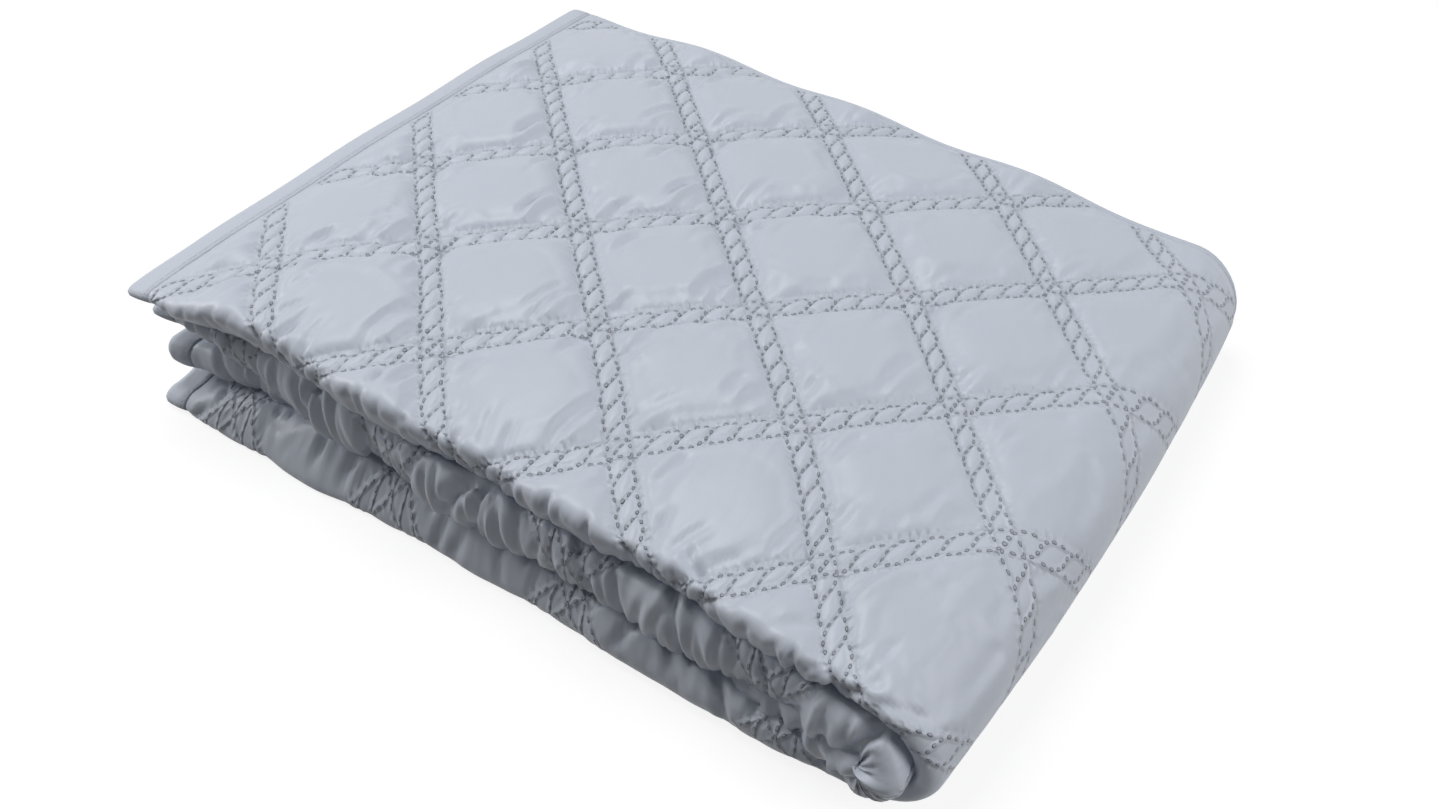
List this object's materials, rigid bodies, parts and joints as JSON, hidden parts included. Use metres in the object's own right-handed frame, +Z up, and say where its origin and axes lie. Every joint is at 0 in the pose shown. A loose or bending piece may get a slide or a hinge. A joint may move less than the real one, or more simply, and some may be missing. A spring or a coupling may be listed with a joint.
{
  "type": "mattress protector",
  "caption": "Quilted waterproof mattress protector, folded into a soft flat pack, with a diamond-quilted face cloth, wadding, membrane, backing cloth and hemmed edges.",
  "frame": {"origin": "centre of the folded pack's bounding box in plan, on the flat face it lies on", "axes": "+X along the pack's long side, from the open, hemmed end to the fold in half; -Y towards the side that shows the folds of the plies; +Z up"},
  "size_m": [0.4502, 0.3608, 0.0962],
  "materials": {
    "face_cloth": "soft brushed microfibre, pale blue grey, diamond quilted",
    "wadding": "matt lofted polyester wadding, off-white",
    "membrane": "thin satin waterproof film",
    "backing_cloth": "plain smooth microfibre, pale blue grey",
    "hem_tape": "plain woven microfibre tape, pale blue grey, sewn"
  },
  "bodies": {
    "root": {"face_cloth": "face_cloth", "wadding": "wadding", "waterproof_membrane": "membrane", "backing_cloth": "backing_cloth", "upper_side_hem": "hem_tape", "lower_side_hem": "hem_tape", "head_hem": "hem_tape", "foot_hem": "hem_tape"}
  },
  "joints": []
}
